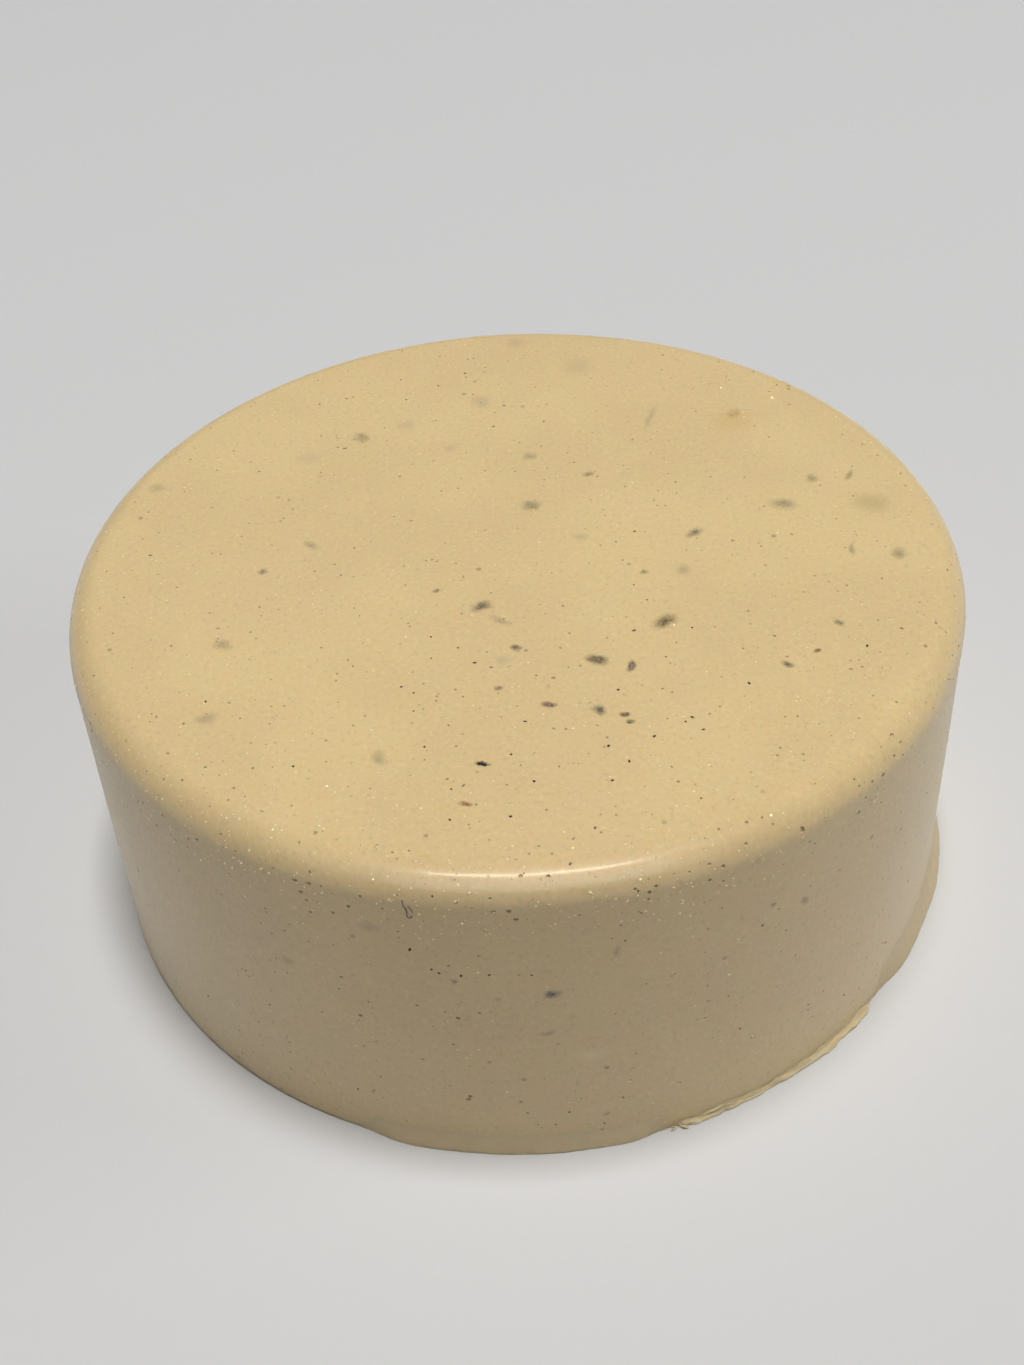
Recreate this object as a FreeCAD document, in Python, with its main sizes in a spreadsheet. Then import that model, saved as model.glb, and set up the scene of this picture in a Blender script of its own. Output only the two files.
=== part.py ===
import FreeCAD, Part

import math
import os
import random

import Sketcher
from FreeCAD import Placement, Rotation, Vector

# A cast shaving soap puck: one drafted, round-edged casting, the torn casting flash around its foot,
# and the plant matter and mica stirred into it, each sitting in a pocket of its own shape.
# Frame: origin at the centre of the underside, +Z up through the puck, front of the puck towards -Y.

# Driving dimensions, in millimetres.
SIZES = {
    "top_diameter": 70.0,
    "base_diameter": 71.0,
    "puck_height": 29.2,
    "edge_round": 2.6,
    "foot_bevel": 0.45,
    "leaf_thickness": 0.14,
    "leaf_proud": 0.03,
    "grain_cover": 0.06,
    "black_speck_size": 0.24,
    "brown_speck_size": 0.26,
    "mica_size": 0.24,
    "mica_thickness": 0.05,
    "inner_flake_length": 1.4,
    "inner_flake_skin": 2.5,
    "fibre_diameter": 0.12,
    "fibre_curl": 0.34,
    "fibre_cover": 0.14,
    "flash_thickness": 0.25,
    "shred_length": 1.1,
    "shred_width": 0.25,
}

# Leaves and petals on the top face: x, y, length, width, turn in degrees, and how deep the upper face
# lies under the skin. A depth of PROUD stands leaf_proud out of the soap.
PROUD = None
TOP_LEAVES = {
    "slate_leaf": [
        (1.8, 5.6, 1.5, 1.2, 10, 0.25),
        (22.0, 3.7, 1.9, 1.3, -15, 0.3),
        (-12.5, 17.0, 1.4, 1.1, 100, 0.3),
        (-2.6, -7.0, 1.3, 1.1, 30, 0.15),
        (5.4, -19.3, 1.1, 0.8, -30, 0.12),
        (-1.6, -16.4, 0.6, 0.5, 0, 0.12),
        (-9.9, -22.9, 1.0, 0.8, -60, 0.35),
        (24.8, 7.2, 1.0, 0.7, 60, 0.3),
        (29.7, -3.4, 1.4, 0.9, 60, 0.3),
        (19.2, -15.5, 0.8, 0.6, -30, 0.15),
        (23.7, -11.2, 0.9, 0.5, -60, 0.2),
        (-29.5, 11.1, 1.4, 1.0, 0, 0.45),
        (27.8, 7.2, 1.4, 0.5, 65, 0.3),
        (26.3, -2.6, 1.3, 0.4, 75, 0.3),
        (10.0, -4.1, 0.5, 0.4, 60, 0.2),
        (-1.2, -8.9, 1.6, 0.6, -40, 0.4),
    ],
    "olive_leaf": [
        (11.0, -10.0, 1.9, 1.3, 50, 0.12),
        (5.7, -13.9, 1.5, 1.1, -15, PROUD),
        (7.1, -19.9, 0.6, 0.5, 0, PROUD),
        (7.5, -20.6, 0.6, 0.4, -40, PROUD),
        (29.0, 3.2, 2.4, 2.0, 0, 0.5),
        (12.6, 17.8, 3.6, 0.7, 72, 0.45),
    ],
    "plum_petal": [
        (-0.2, -12.1, 0.9, 0.6, -20, 0.1),
        (8.1, -14.8, 1.1, 0.6, 85, PROUD),
        (1.9, -18.4, 0.9, 0.5, 0, PROUD),
        (14.4, 0.7, 1.4, 0.7, 30, 0.2),
        (-6.0, -4.9, 0.5, 0.4, 0, 0.15),
        (6.6, 9.6, 0.8, 0.6, 40, 0.25),
        (1.8, 12.6, 1.1, 0.9, 80, 0.35),
        (13.0, -3.9, 1.1, 0.8, 90, 0.4),
        (-22.0, -9.9, 1.2, 0.9, -30, 0.35),
        (-22.3, -17.9, 1.1, 0.9, 0, 0.4),
        (-16.0, 1.8, 1.4, 0.8, -40, 0.35),
        (-19.6, -1.3, 0.6, 0.5, 0, 0.2),
    ],
    "rust_leaf": [
        (19.8, 17.4, 1.1, 0.9, 60, 0.3),
        (21.6, -14.2, 0.6, 0.3, 10, PROUD),
        (-4.1, -27.6, 0.9, 0.4, 0, 0.1),
    ],
    "seed_husk": [
        (-2.9, -24.0, 1.0, 0.4, -20, PROUD),
    ],
}

# Leaves in the wall: azimuth in degrees (0 is +X, 270 the front), height, length, width, turn, depth.
WALL_LEAVES = {
    "wall_leaf": [
        (302.4, 19.9, 1.0, 0.7, -50, 0.15),
        (271.0, 14.0, 0.8, 0.5, 10, 0.2),
        (297.6, 21.2, 0.4, 0.35, 0, 0.12),
        (260.9, 19.6, 0.5, 0.4, 0, 0.12),
        (249.6, 5.2, 0.5, 0.3, 60, 0.12),
        (277.4, 3.6, 0.4, 0.35, 0, 0.12),
        (279.0, 21.8, 1.1, 0.4, 80, 0.3),
    ],
    "wall_petal": [
        (271.5, 18.2, 1.1, 0.7, 20, 0.15),
    ],
}

# Crisp black specks: x and y on the top face, then azimuth and height on the wall.
BLACK_TOP = [
    (11.3, -20.9), (11.8, -20.5), (16.2, -17.3), (6.9, -17.3), (-0.9, -23.2), (-5.0, -26.2),
    (-6.8, -22.0), (-3.2, -13.5), (5.8, -22.9), (9.0, -22.2), (12.4, -21.8), (5.8, -26.2),
    (-5.1, -29.0), (-1.1, -29.0), (-7.6, -16.4), (-8.5, -15.7), (-7.6, -18.3), (7.1, -24.5),
    (0.2, -20.0), (12.9, -10.9), (-6.4, -10.3), (25.2, -14.0), (-22.5, -16.1), (0.6, -25.9),
]
BLACK_WALL = [
    (258.6, 20.6), (259.4, 20.3), (261.8, 20.2), (264.9, 20.4), (269.5, 20.3), (256.4, 22.4),
    (273.0, 4.5), (271.3, 3.1), (247.4, 4.9), (296.3, 19.7),
]
BROWN_SPECKS = 130
MICA_FLECKS = 130
INNER_FLAKES = 60
SPECK_CORNERS = 5
LEAF_CORNERS = 7

# The flash around the foot: first and last azimuth, and how far it reaches out of the wall at even
# steps between them. It fills the foot's bevel and runs out at both ends.
FLASH = {
    "flash_front": (247.0, 285.0, [0.35, 0.45, 0.4, 0.4, 0.4, 0.4, 0.35, 0.35]),
    "flash_torn": (285.5, 318.5, [0.35, 0.35, 0.3, 0.3, 0.25, 0.35, 0.45, 0.5, 0.5, 0.45, 0.5]),
    "flash_right": (319.0, 392.0, [0.5, 0.6, 0.85, 0.95, 0.95, 0.9, 0.85, 0.8, 0.6, 0.3]),
}
SHRED_AZIMUTH = 286.6
SHRED_REACH = 0.5
FIBRE_AZIMUTH = 256.8
FIBRE_HEIGHT = 26.4

doc = FreeCAD.newDocument("shaving_soap_puck")
sheet = doc.addObject("Spreadsheet::Sheet", "sizes")
sheet_rows = []
subparts = []
seats_taken = []


def add_size(alias, value):
    """Gives the next row of the sheet a name and a plain number."""
    sheet_rows.append(alias)
    row = len(sheet_rows)
    sheet.set(f"A{row}", alias)
    sheet.set(f"B{row}", str(value))
    sheet.setAlias(f"B{row}", alias)


def size(alias):
    return float(sheet.get(alias))


def finish_subpart(thing, name):
    """Names a sub-part and keeps it for export."""
    thing.Label = name
    subparts.append(thing)
    return thing


def profile():
    """The casting's outer line: flat radius, round's length, wall's length, draft angle."""
    top_radius = size("top_diameter") / 2
    base_radius = size("base_diameter") / 2
    draft = math.atan2(base_radius - top_radius, size("puck_height"))
    turn = math.pi / 2 - draft
    tangent = size("edge_round") * math.tan(turn / 2)
    wall = math.hypot(base_radius - top_radius, size("puck_height")) - tangent
    return top_radius - tangent, size("edge_round") * turn, wall, draft


def skin_point(along):
    """Radius, height and outward tilt above level of the skin, this far from the top's centre."""
    flat, round_length, wall, draft = profile()
    height = size("puck_height")
    if along <= flat:
        return along, height, math.pi / 2
    bend = min(along - flat, round_length) / size("edge_round")
    radius = flat + size("edge_round") * math.sin(bend)
    level = height - size("edge_round") * (1 - math.cos(bend))
    down = max(along - flat - round_length, 0.0)
    return radius + down * math.sin(draft), level - down * math.cos(draft), math.pi / 2 - bend


def along_at_height(level):
    """Distance along the skin from the top's centre to this height on the wall."""
    flat, round_length, wall, draft = profile()
    foot = flat + round_length + wall
    return foot - level / math.cos(draft)


def seat(along, azimuth, depth, turn=0.0):
    """A frame under the skin: +Z points out of the soap, +X runs around it."""
    radius, level, tilt = skin_point(along)
    spin = math.radians(azimuth)
    outward = Vector(math.cos(spin) * math.cos(tilt), math.sin(spin) * math.cos(tilt), math.sin(tilt))
    around = Vector(-math.sin(spin), math.cos(spin), 0)
    upward = outward.cross(around)
    point = Vector(radius * math.cos(spin), radius * math.sin(spin), level) - outward * depth
    frame = Placement(point, Rotation(around, upward, outward, "ZXY"))
    return frame.multiply(Placement(Vector(), Rotation(Vector(0, 0, 1), turn)))


def top_seat(x, y, depth, turn=0.0):
    """The same on the flat top face, where +X of the frame stays the puck's +X."""
    return Placement(Vector(x, y, size("puck_height") - depth), Rotation(Vector(0, 0, 1), turn))


def claim(point, radius):
    """Keeps a ball of soap for one inclusion, and says whether it was free."""
    for other, other_radius in seats_taken:
        if point.distanceToPoint(other) < radius + other_radius + size("grain_cover"):
            return False
    seats_taken.append((point, radius))
    return True


def uneven_corners(rng, count):
    """Corners of a torn, roughly round outline inside the unit circle."""
    corners = []
    for k in range(count):
        angle = 2 * math.pi * (k + rng.uniform(0.25, 0.75)) / count
        reach = rng.uniform(0.72, 1.0)
        corners.append((reach * math.cos(angle), reach * math.sin(angle)))
    return corners


def chip(rng, length, width, thickness, corners):
    """A small uneven plate lying on the XY plane."""
    outline = [Vector(u * length / 2, v * width / 2, 0) for u, v in uneven_corners(rng, corners)]
    face = Part.Face(Part.makePolygon(outline + outline[:1]))
    return face.extrude(Vector(0, 0, thickness))


def origin_plane(body, role):
    return next(f for f in body.Origin.OriginFeatures if f.Role == role)


def add_constraint(sketch, kind, *geometry, value=0.0, formula=None):
    index = sketch.addConstraint(Sketcher.Constraint(kind, *geometry, value))
    if formula:
        sketch.setExpression(f"Constraints[{index}]", formula)


def add_outline(body, name, role, corners):
    """A closed outline whose corners are held from the origin: (x, formula, y, formula) each."""
    sketch = body.newObject("Sketcher::SketchObject", name)
    sketch.AttachmentSupport = [(origin_plane(body, role), "")]
    sketch.MapMode = "FlatFace"
    for k, (x, _, y, _) in enumerate(corners):
        next_x, _, next_y, _ = corners[(k + 1) % len(corners)]
        sketch.addGeometry(Part.LineSegment(Vector(x, y, 0), Vector(next_x, next_y, 0)), False)
    for k in range(len(corners)):
        sketch.addConstraint(Sketcher.Constraint("Coincident", k, 2, (k + 1) % len(corners), 1))
    for k, (x, x_formula, y, y_formula) in enumerate(corners):
        add_constraint(sketch, "DistanceX", -1, 1, k, 1, value=x, formula=x_formula)
        add_constraint(sketch, "DistanceY", -1, 1, k, 1, value=y, formula=y_formula)
    return sketch


def circles_at(feature, level):
    """Names of the feature's round edges at this height."""
    return [
        f"Edge{k + 1}"
        for k, edge in enumerate(feature.Shape.Edges)
        if isinstance(edge.Curve, Part.Circle) and abs(edge.Curve.Center.z - level) < 0.001
    ]


def make_casting():
    """The bare casting: a drafted disc turned about Z, its top edge rounded and its foot bevelled."""
    body = doc.addObject("PartDesign::Body", "casting")
    top, base, height = size("top_diameter") / 2, size("base_diameter") / 2, size("puck_height")
    corners = [
        (0.0, None, 0.0, None),
        (base, "sizes.base_diameter / 2", 0.0, None),
        (top, "sizes.top_diameter / 2", height, "sizes.puck_height"),
        (0.0, None, height, "sizes.puck_height"),
    ]
    outline = add_outline(body, "casting_profile", "XZ_Plane", corners)
    turned = body.newObject("PartDesign::Revolution", "casting_turned")
    turned.Profile = outline
    turned.ReferenceAxis = (outline, ["V_Axis"])
    turned.Angle = 360
    doc.recompute()
    rounded = body.newObject("PartDesign::Fillet", "casting_round")
    rounded.Base = (turned, circles_at(turned, height))
    rounded.setExpression("Radius", "sizes.edge_round")
    doc.recompute()
    bevelled = body.newObject("PartDesign::Chamfer", "casting_bevel")
    bevelled.Base = (rounded, circles_at(rounded, 0))
    bevelled.setExpression("Size", "sizes.foot_bevel")
    body.Tip = bevelled
    doc.recompute()
    return body


def leaf_floor(depth):
    """Depth of a leaf's lower face under the skin."""
    cover = -size("leaf_proud") if depth is PROUD else depth
    return cover + size("leaf_thickness")


def plan_leaf(name, length, width, placed):
    """Puts a leaf's own sizes in the sheet and keeps its room in the soap."""
    add_size(f"{name}_length", length)
    add_size(f"{name}_width", width)
    claim(placed.Base, length / 2)
    return name, length, width, placed


def numbered(kind, leaves):
    """Each leaf of one kind with its node name."""
    for k, leaf in enumerate(leaves):
        yield (kind if len(leaves) == 1 else f"{kind}_{k + 1:02d}"), leaf


def plan_leaves():
    planned = []
    for kind, leaves in TOP_LEAVES.items():
        for name, (x, y, length, width, turn, depth) in numbered(kind, leaves):
            planned.append(plan_leaf(name, length, width, top_seat(x, y, leaf_floor(depth), turn)))
    for kind, leaves in WALL_LEAVES.items():
        for name, (azimuth, level, length, width, turn, depth) in numbered(kind, leaves):
            placed = seat(along_at_height(level), azimuth, leaf_floor(depth), turn)
            planned.append(plan_leaf(name, length, width, placed))
    return planned


def make_leaf(rng, name, length, width, placed):
    """One flat flake of leaf or petal with a torn outline."""
    body = doc.addObject("PartDesign::Body", name)
    corners = []
    for u, v in uneven_corners(rng, LEAF_CORNERS):
        across, up = round(u / 2, 3), round(v / 2, 3)
        x_formula = f"sizes.{name}_length * {across}"
        y_formula = f"sizes.{name}_width * {up}"
        corners.append((across * length, x_formula, up * width, y_formula))
    outline = add_outline(body, f"{name}_outline", "XY_Plane", corners)
    pad = body.newObject("PartDesign::Pad", f"{name}_pad")
    pad.Profile = outline
    pad.setExpression("Length", "sizes.leaf_thickness")
    body.Placement = placed
    return finish_subpart(body, name)


def make_group(name, solids):
    """Many small solids of one kind, kept apart but in one node."""
    group = doc.addObject("Part::Feature", name)
    group.Shape = Part.makeCompound(solids)
    return finish_subpart(group, name)


def placed_chip(rng, length, thickness, frame):
    plate = chip(rng, length, length * rng.uniform(0.6, 1.0), thickness, SPECK_CORNERS)
    plate.Placement = frame
    return plate


def make_black_specks(rng):
    """Crisp black grains whose tops just break the skin."""
    width = size("black_speck_size")
    floor = width * 0.6
    frames = [top_seat(x, y, floor) for x, y in BLACK_TOP]
    frames += [seat(along_at_height(level), azimuth, floor) for azimuth, level in BLACK_WALL]
    solids = []
    for frame in frames:
        claim(frame.Base, width)
        solids.append(placed_chip(rng, width, floor + size("leaf_proud"), frame))
    return make_group("black_specks", solids)


def scatter(rng, count, width, thickness):
    """Chips spread evenly over the top, the round and the wall, just under the skin."""
    flat, round_length, wall, _ = profile()
    reach = flat + round_length + wall - 2 * width
    widest = size("base_diameter") / 2
    solids = []
    while len(solids) < count:
        along, azimuth = rng.uniform(0, reach), rng.uniform(0, 360)
        if rng.uniform(0, widest) > skin_point(along)[0]:
            continue
        length = width * rng.uniform(0.6, 1.2)
        frame = seat(along, azimuth, size("grain_cover") + thickness, rng.uniform(0, 360))
        if claim(frame.Base, length):
            solids.append(placed_chip(rng, length, thickness, frame))
    return solids


def make_inner_flakes(rng):
    """Flakes all through the soap, at any angle, away from every surface."""
    skin, length = size("inner_flake_skin"), size("inner_flake_length")
    room = size("top_diameter") / 2 - skin
    solids = []
    while len(solids) < INNER_FLAKES:
        radius, azimuth = room * math.sqrt(rng.random()), rng.uniform(0, 2 * math.pi)
        level = rng.uniform(skin, size("puck_height") - skin)
        point = Vector(radius * math.cos(azimuth), radius * math.sin(azimuth), level)
        if not claim(point, length):
            continue
        long = length * rng.uniform(0.5, 1.0)
        plate = chip(rng, long, long * rng.uniform(0.4, 0.9), size("leaf_thickness"), LEAF_CORNERS)
        turned = Rotation(rng.uniform(0, 360), rng.uniform(0, 90), rng.uniform(0, 360))
        plate.Placement = Placement(point, turned)
        solids.append(plate)
    return make_group("inner_flakes", solids)


def make_root_fibre():
    """A curled hair of root in the shoulder: two half turns of a fine tube."""
    curl, radius = size("fibre_curl"), size("fibre_diameter") / 2
    lower = Part.Arc(Vector(0, -2 * curl, 0), Vector(curl, -curl, 0), Vector(0, 0, 0)).toShape()
    upper = Part.Arc(Vector(0, 0, 0), Vector(-curl, curl, 0), Vector(0, 2 * curl, 0)).toShape()
    path = Part.Wire([lower, upper])
    ring = Part.Wire(Part.makeCircle(radius, Vector(0, -2 * curl, 0), Vector(1, 0, 0)))
    fibre = doc.addObject("Part::Feature", "root_fibre")
    fibre.Shape = path.makePipeShell([ring], True, True)
    fibre.Placement = seat(along_at_height(FIBRE_HEIGHT), FIBRE_AZIMUTH, size("fibre_cover") + radius)
    claim(fibre.Placement.Base, 3 * curl)
    return finish_subpart(fibre, "root_fibre")


def polar(radius, azimuth):
    return Vector(radius * math.cos(math.radians(azimuth)), radius * math.sin(math.radians(azimuth)), 0)


def make_flash(casting, name, first, last, reaches):
    """A thin torn skirt lying at the foot, from the bevel out to an uneven edge."""
    foot = size("base_diameter") / 2
    root = foot - size("foot_bevel")
    step = (last - first) / (len(reaches) + 1)
    edge = [polar(root, first)]
    edge += [polar(foot + reach, first + step * (k + 1)) for k, reach in enumerate(reaches)]
    edge.append(polar(root, last))
    torn = Part.BSplineCurve()
    torn.interpolate(edge)
    inner = Part.Arc(edge[0], polar(root, (first + last) / 2), edge[-1])
    face = Part.Face(Part.Wire([torn.toShape(), inner.toShape()]))
    skirt = face.extrude(Vector(0, 0, size("flash_thickness")))
    flash = doc.addObject("Part::Feature", name)
    flash.Shape = skirt.cut(casting.Shape)
    return finish_subpart(flash, name)


def make_shred():
    """A curled shred of flash lying just outside the skirt: half a tube wall."""
    radius = size("shred_length") / math.pi
    wall = size("flash_thickness") / 3
    tube = Part.makeCylinder(radius, size("shred_width"))
    bore = Part.makeCylinder(radius - wall, size("shred_width"))
    keep = Part.makeBox(2 * radius, radius, size("shred_width"), Vector(-radius, 0, 0))
    shred = doc.addObject("Part::Feature", "flash_shred")
    shred.Shape = tube.cut(bore).common(keep)
    foot = polar(size("base_diameter") / 2 + SHRED_REACH + size("shred_width"), SHRED_AZIMUTH)
    stand = Rotation(Vector(1, 0, 0), 90)
    shred.Placement = Placement(foot, Rotation(Vector(0, 0, 1), SHRED_AZIMUTH + 90).multiply(stand))
    return finish_subpart(shred, "flash_shred")


def make_soap_body(casting, inclusions):
    """The casting with a pocket for everything that is set in it."""
    filling = doc.addObject("Part::Compound", "filling")
    filling.Links = inclusions
    soap = doc.addObject("Part::Cut", "soap_body")
    soap.Base = casting
    soap.Tool = filling
    return finish_subpart(soap, "soap_body")


def check_document():
    """Stops if anything failed to build, or a sub-part isn't a sound set of solids."""
    for thing in doc.Objects:
        if "Invalid" in thing.State or "Error" in thing.State:
            raise RuntimeError(f"{thing.Name} failed: {thing.State}")
    for thing in subparts:
        shape = thing.Shape
        if shape.isNull() or not shape.isValid() or not shape.Solids:
            raise RuntimeError(f"{thing.Label} has no sound solid")


def report_fit(casting, soap, inclusions):
    """Prints how much soap the pockets took against how much sits in them."""
    taken = casting.Shape.Volume - soap.Shape.Volume
    inside = sum(thing.Shape.common(casting.Shape).Volume for thing in inclusions)
    print(f"casting {casting.Shape.Volume:.1f} mm3, pockets {taken:.4f}, filled {inside:.4f}")
    print(f"{len(subparts)} nodes, {sum(len(thing.Shape.Solids) for thing in subparts)} solids")


def write_parts():
    os.makedirs("parts", exist_ok=True)
    for thing in subparts:
        thing.Shape.exportStep(f"parts/{thing.Label}.step")


for alias, value in SIZES.items():
    add_size(alias, value)
doc.recompute()

casting = make_casting()
dice = random.Random(29)
planned = plan_leaves()
doc.recompute()
for leaf in planned:
    make_leaf(dice, *leaf)
make_root_fibre()
make_black_specks(dice)
brown = scatter(dice, BROWN_SPECKS, size("brown_speck_size"), size("brown_speck_size") / 2)
make_group("brown_specks", brown)
make_group("mica_flecks", scatter(dice, MICA_FLECKS, size("mica_size"), size("mica_thickness")))
make_inner_flakes(dice)
inclusions = list(subparts)
soap = make_soap_body(casting, inclusions)
for name, (first, last, reaches) in FLASH.items():
    make_flash(casting, name, first, last, reaches)
make_shred()

doc.recompute()
check_document()
report_fit(casting, soap, inclusions)
write_parts()
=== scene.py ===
import math
import random

import bpy
import bmesh
import numpy as np
from mathutils import Matrix, Vector, noise
from mathutils.geometry import delaunay_2d_cdt


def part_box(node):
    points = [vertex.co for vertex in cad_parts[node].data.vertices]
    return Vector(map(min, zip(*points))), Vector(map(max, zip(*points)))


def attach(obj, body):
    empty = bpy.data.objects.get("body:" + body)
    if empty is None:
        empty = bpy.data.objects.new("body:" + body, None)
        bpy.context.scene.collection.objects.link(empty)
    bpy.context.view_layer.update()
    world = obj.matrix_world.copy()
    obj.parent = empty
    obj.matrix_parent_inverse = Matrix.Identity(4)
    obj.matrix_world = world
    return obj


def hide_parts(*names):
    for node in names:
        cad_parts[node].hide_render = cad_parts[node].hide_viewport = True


# A shaving soap puck: one satin, slightly translucent casting with a rounded top edge, torn casting flash
# round its foot, and dried leaf, specks and mica set in its skin. Lengths are in metres. A place on the skin
# is given by how far along the skin it is from the middle of the top, and by its azimuth.

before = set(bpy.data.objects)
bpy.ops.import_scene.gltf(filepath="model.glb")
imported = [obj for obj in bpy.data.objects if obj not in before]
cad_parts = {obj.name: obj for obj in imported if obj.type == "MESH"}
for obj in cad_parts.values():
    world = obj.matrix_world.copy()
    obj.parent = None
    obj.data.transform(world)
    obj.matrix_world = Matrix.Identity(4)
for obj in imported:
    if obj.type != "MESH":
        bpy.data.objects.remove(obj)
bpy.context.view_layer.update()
MM = 0.001
TOUCHING = 0.001 * MM       # points nearer each other than this are taken as one

# ---------------------------------------- camera, light and floor

CAMERA_PLACE = Vector((0, -103.24, 107.23)) * MM
CAMERA_AIM = Vector((-0.68, 0.46, 14.61)) * MM
CAMERA_ROLL = math.radians(-3.44)
CAMERA_LENS = 43.2
FLOOR_RADIUS = 1.3
WALL_RADIUS = 2.2
WALL_HEIGHT = 2.6
FLOOR_COLOUR = (0.675, 0.675, 0.675)
ROOM_GLOW = 0.01
WALL_GLOW = 0.28


def add_camera():
    data = bpy.data.cameras.new("camera")
    data.lens = CAMERA_LENS
    data.sensor_width = 36.0
    data.clip_start = 0.005
    camera = bpy.data.objects.new("camera", data)
    bpy.context.scene.collection.objects.link(camera)
    facing = (CAMERA_AIM - CAMERA_PLACE).to_track_quat("-Z", "Y").to_matrix()
    turned = facing @ Matrix.Rotation(CAMERA_ROLL, 3, "Z")
    camera.matrix_world = Matrix.Translation(CAMERA_PLACE) @ turned.to_4x4()
    bpy.context.scene.camera = camera


def add_area_light(name, place, size, power, gloss=True, diffuse=True):
    """A soft rectangular light aimed at the puck; size is (width, height). Returns its settings."""
    data = bpy.data.lights.new(name, "AREA")
    data.shape = "RECTANGLE"
    data.size, data.size_y = size
    data.energy = power
    light = bpy.data.objects.new(name, data)
    bpy.context.scene.collection.objects.link(light)
    light.location = place
    light.rotation_euler = (-Vector(place)).to_track_quat("-Z", "Y").to_euler()
    light.visible_glossy = gloss
    light.visible_diffuse = diffuse
    return data


def add_lights():
    """Lights above and low on the right that make no gloss, and two front panels that make only gloss."""
    add_area_light("ceiling", (0.06, 0.0, 1.8), (0.40, 0.40), 27.0, gloss=False)
    add_area_light("right", (1.45, 0, 0.68), (0.6, 0.6), 4.0, gloss=False)
    strip = add_area_light("strip", (0, -0.62, 1.475), (0.85, 0.06), 18.0, diffuse=False)
    strip.color = (1.0, 0.86, 0.74)
    add_area_light("front", (0, -1.36, 0.99), (1.8, 0.85), 14.0, diffuse=False)
    world = bpy.data.worlds.new("room")
    bpy.context.scene.world = world
    world.use_nodes = True
    background = world.node_tree.nodes["Background"]
    background.inputs["Color"].default_value = (1, 1, 1, 1)
    background.inputs["Strength"].default_value = ROOM_GLOW


def add_surface(name, rings, material):
    """A surface of revolution about Z; rings are (radius, height)."""
    sides = 96
    points = []
    for radius, level in rings:
        turns = [2 * math.pi * k / sides for k in range(sides)]
        points += [(radius * math.cos(t), radius * math.sin(t), level) for t in turns]
    mesh = bpy.data.meshes.new(name)
    mesh.from_pydata(points, [], ring_faces(len(rings), sides))
    mesh.polygons.foreach_set("use_smooth", [True] * len(mesh.polygons))
    mesh.materials.append(material)
    surface = bpy.data.objects.new(name, mesh)
    bpy.context.scene.collection.objects.link(surface)
    return surface


def room_material(name, glow):
    """Plain pale paint, with a glow of its own where little light falls."""
    material = bpy.data.materials.new(name)
    material.use_nodes = True
    shader = material.node_tree.nodes["Principled BSDF"]
    shader.inputs["Base Color"].default_value = (*FLOOR_COLOUR, 1)
    shader.inputs["Roughness"].default_value = 0.9
    shader.inputs["Emission Color"].default_value = (1, 1, 1, 1)
    shader.inputs["Emission Strength"].default_value = glow
    return material


def add_room():
    """A pale floor, and a wall that it sweeps up into, which throws no light back on the puck."""
    add_surface("floor", [(0.0001, 0.0), (FLOOR_RADIUS, 0.0)], room_material("floor", 0.0))
    cove = WALL_RADIUS - FLOOR_RADIUS
    steps = 16
    bends = [math.pi / 2 * k / steps for k in range(steps + 1)]
    sweep = [(FLOOR_RADIUS + cove * math.sin(t), cove * (1 - math.cos(t))) for t in bends]
    wall = add_surface("wall", sweep + [(WALL_RADIUS, WALL_HEIGHT)], room_material("wall", WALL_GLOW))
    wall.visible_diffuse = False
    wall.visible_glossy = False


# ---------------------------------------- the skin of the casting

EDGE_ROUND = 2.6 * MM       # this round and bevel are those of the CAD casting
FOOT_BEVEL = 0.45 * MM
LEFT_FOOT = 0.24 * MM       # how round the bare foot is, on the left and at the back
FLASHED_FOOT = 0.12 * MM    # how round the foot is where flash fills its edge
BARE_FROM, BARE_TO = 40, 247            # azimuths between which the foot is bare, in degrees
ROUNDS_OFF_IN, SHARPENS_IN = 20, 4      # degrees that the change takes at each of those two


def measure_profile():
    """Flat radius, draft angle, wall radius at the foot and height, read off the CAD casting."""
    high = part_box("soap_body")[1]
    points = np.array([v.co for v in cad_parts["soap_body"].data.vertices])
    on_top = points[points[:, 2] > high.z - TOUCHING]
    flat = float(np.hypot(on_top[:, 0], on_top[:, 1]).max())
    draft = 0.0
    for _ in range(4):      # the round runs smoothly into the wall, so its end depends on the draft
        shoulder = flat + EDGE_ROUND * math.cos(draft)
        drop = high.z - EDGE_ROUND * (1 - math.sin(draft)) - FOOT_BEVEL
        draft = math.atan((high.x - shoulder) / drop)
    return flat, draft, high.x, high.z


FLAT, DRAFT, WALL_FOOT, HEIGHT = measure_profile()
ROUND_LENGTH = EDGE_ROUND * (math.pi / 2 - DRAFT)
SHOULDER = FLAT + EDGE_ROUND * math.cos(DRAFT)
SHOULDER_Z = HEIGHT - EDGE_ROUND * (1 - math.sin(DRAFT))


def skin(along):
    """Radius, height and tilt of the skin's normal from level, this far from the top's centre."""
    if along <= FLAT:
        return along, HEIGHT, math.pi / 2
    bend = min((along - FLAT) / EDGE_ROUND, math.pi / 2 - DRAFT)
    radius = FLAT + EDGE_ROUND * math.sin(bend)
    level = HEIGHT - EDGE_ROUND * (1 - math.cos(bend))
    down = max(along - FLAT - ROUND_LENGTH, 0.0)
    return radius + down * math.sin(DRAFT), level - down * math.cos(DRAFT), math.pi / 2 - bend


def along_at(level):
    """How far the skin at this height is from the top's centre, on the wall."""
    return FLAT + ROUND_LENGTH + (SHOULDER_Z - level) / math.cos(DRAFT)


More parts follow.
